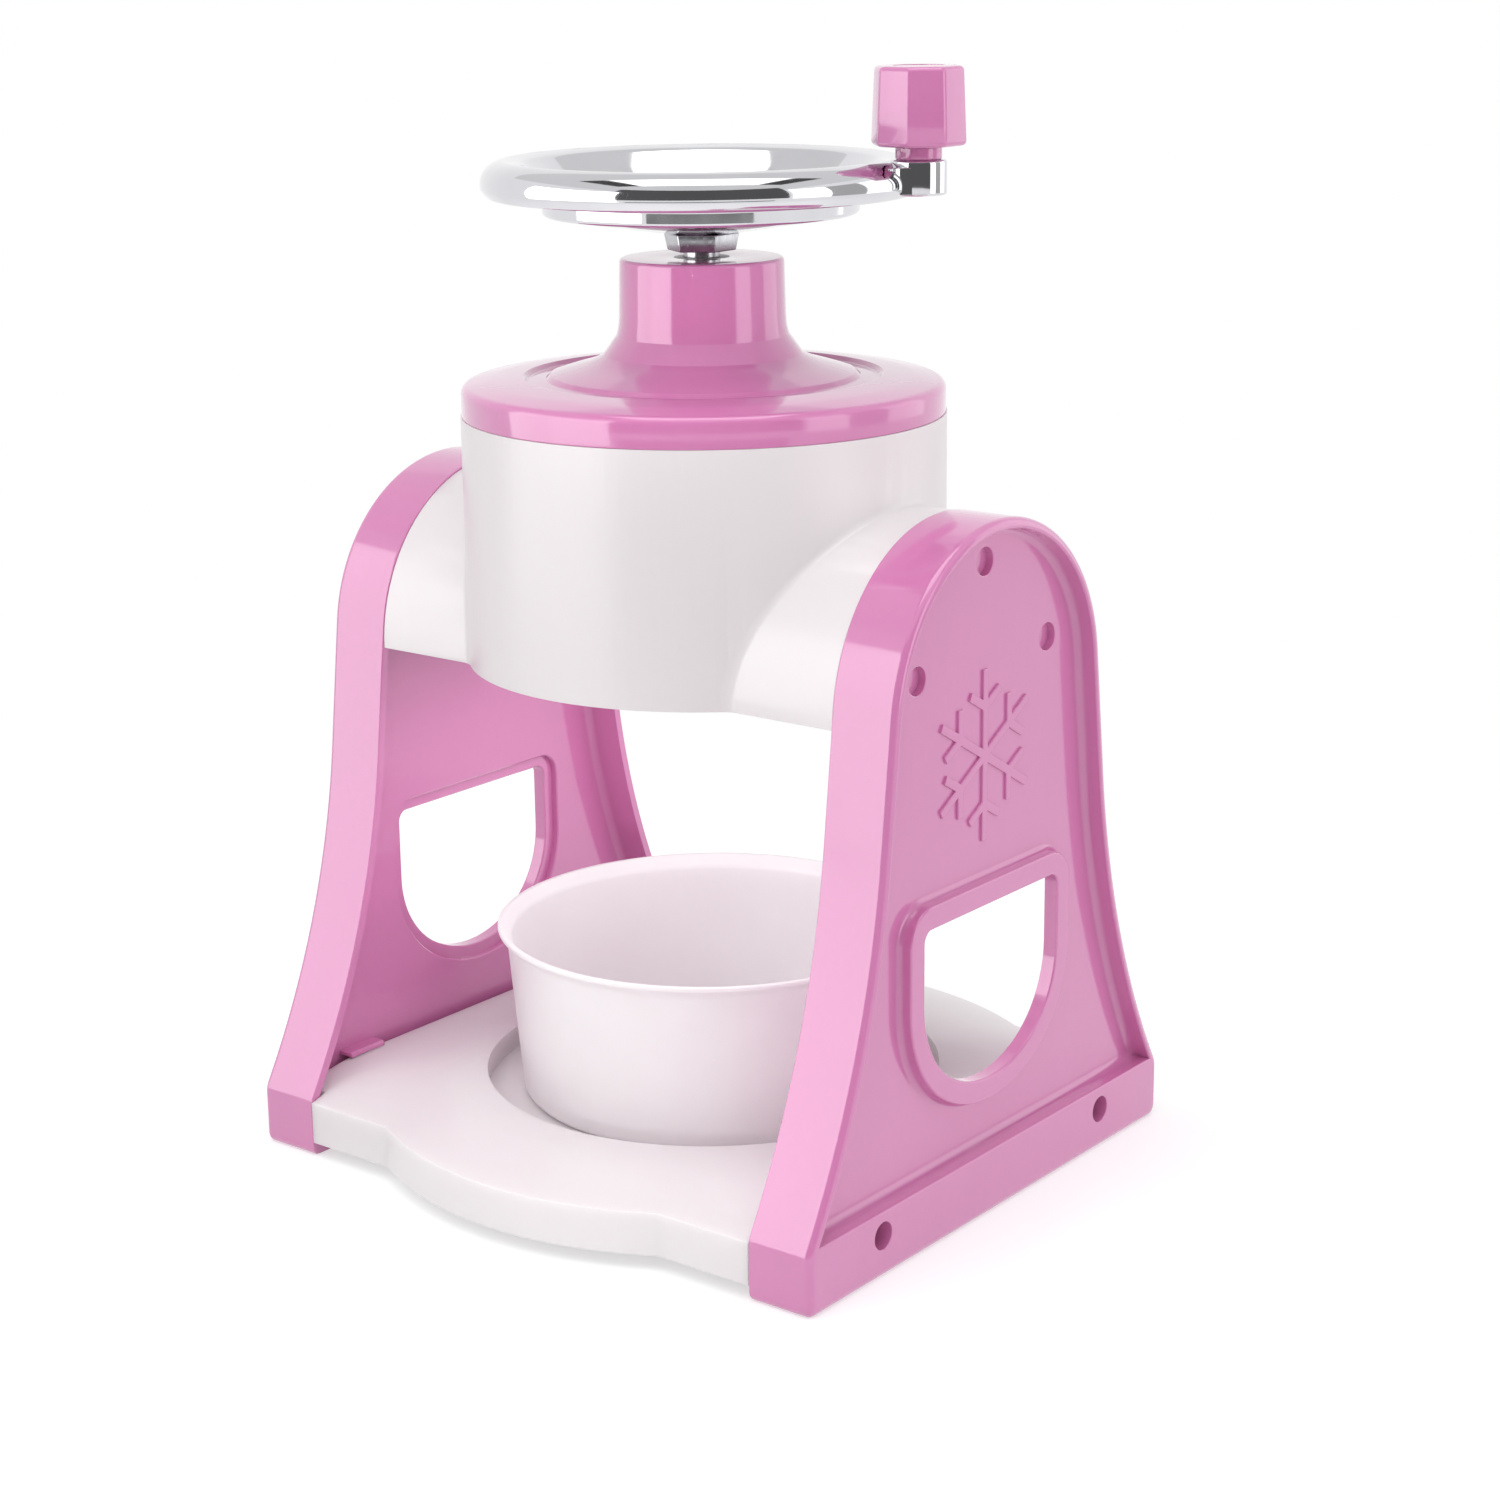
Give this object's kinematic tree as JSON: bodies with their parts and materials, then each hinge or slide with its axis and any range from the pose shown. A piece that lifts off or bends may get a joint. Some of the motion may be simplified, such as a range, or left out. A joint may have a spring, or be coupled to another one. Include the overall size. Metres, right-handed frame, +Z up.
{
  "type": "ice shaver with crank",
  "caption": "Hand cranked ice shaver: arched side panels carry a hopper with a domed lid and crank wheel above a round bowl on a base tray.",
  "frame": {"origin": "on the ground, in the middle of the footprint, on the crank wheel's axis", "axes": "+Z up along the wheel's axis; X from side panel to side panel; the bowl comes out towards -Y"},
  "size_m": [0.185, 0.185, 0.285],
  "materials": {
    "pink_plastic": "glossy moulded pink plastic",
    "white_plastic": "glossy moulded white plastic",
    "frosted_plastic": "frosted translucent plastic",
    "plate_plastic": "satin moulded plastic",
    "bush_plastic": "smooth bearing plastic",
    "chrome": "bright chrome plating",
    "stainless_steel": "ground stainless steel",
    "screw_steel": "zinc plated steel"
  },
  "bodies": {
    "frame": {"right_side_panel": "pink_plastic", "left_side_panel": "pink_plastic", "base_tray": "white_plastic", "ice_hopper": "white_plastic", "shaving_plate": "plate_plastic", "shaving_blade": "stainless_steel", "blade_screws": "screw_steel", "right_upper_screws": "screw_steel", "right_base_screws": "screw_steel", "left_upper_screws": "screw_steel", "left_base_screws": "screw_steel", "shaving_plate_screws": "screw_steel"},
    "lid": {"lid": "pink_plastic", "spindle_bush": "bush_plastic"},
    "wheel": {"spindle": "stainless_steel", "spring_washer": "stainless_steel", "end_washer": "stainless_steel", "end_screw": "screw_steel", "wheel_hub": "chrome", "wheel_nut": "stainless_steel", "handwheel": "chrome", "knob_spacer": "pink_plastic", "knob_pin": "stainless_steel", "pressure_spring": "stainless_steel"},
    "knob": {"knob": "pink_plastic", "knob_cap": "pink_plastic"},
    "press": {"press_plate": "plate_plastic", "press_spikes": "stainless_steel"},
    "bowl": {"bowl": "frosted_plastic"}
  },
  "joints": [
    {"name": "lid_lift", "type": "slide", "parent": "frame", "child": "lid", "axis": [0, 0, 1], "range_m": [0, 0.1]},
    {"name": "wheel_turn", "type": "hinge", "parent": "lid", "child": "wheel", "pos_m": [0, 0, 0.24], "axis": [0, 0, 1], "continuous": true},
    {"name": "knob_spin", "type": "hinge", "parent": "wheel", "child": "knob", "pos_m": [0.05389, 0.01856, 0.275], "axis": [0, 0, 1], "continuous": true},
    {"name": "press_lift", "type": "slide", "parent": "wheel", "child": "press", "axis": [0, 0, 1], "range_m": [0, 0.041], "stiffness_N_per_m": 150, "springref_m": -0.06, "deforming": ["pressure_spring"]},
    {"name": "bowl_slide", "type": "slide", "parent": "frame", "child": "bowl", "axis": [0, -0.866, 0.5], "range_m": [0, 0.15]}
  ]
}
